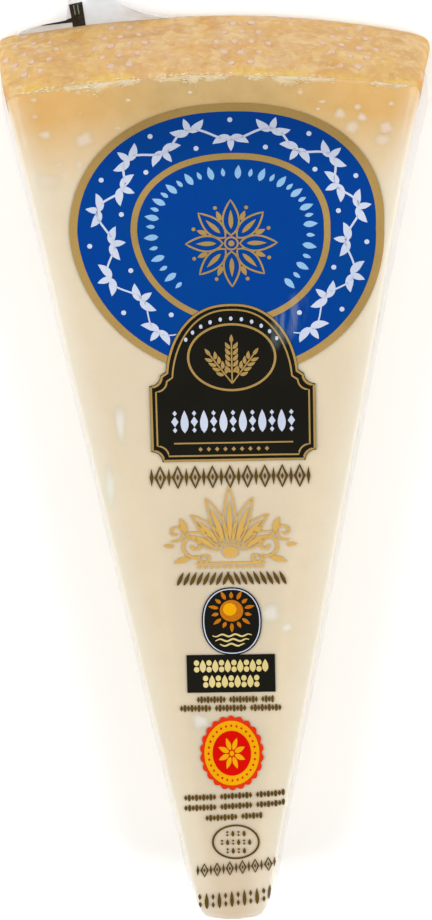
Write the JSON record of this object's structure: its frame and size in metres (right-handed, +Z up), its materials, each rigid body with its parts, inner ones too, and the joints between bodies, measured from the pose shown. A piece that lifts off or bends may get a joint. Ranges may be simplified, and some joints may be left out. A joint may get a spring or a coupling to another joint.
{
  "type": "wedge of hard cheese in clear film",
  "caption": "Long slab wedge of hard cheese with its rind on the wide end and a blunt tip, sealed in tight clear film with a coloured print on its upper face.",
  "frame": {"origin": "middle of the whole box's underside, on the surface that the wedge lies on", "axes": "+Y from the blunt tip to the rind, +Z up out of the printed face, +X to the right seen from above with the rind at the far end"},
  "size_m": [0.0774, 0.1784, 0.0236],
  "materials": {
    "cheese": "pale yellow paste and tan rind, smooth and a little glossy under tight film",
    "film": "clear glossy packing film"
  },
  "bodies": {
    "root": {"cheese_wedge": "cheese", "film_seam": "film", "film_tail": "film"}
  },
  "joints": []
}
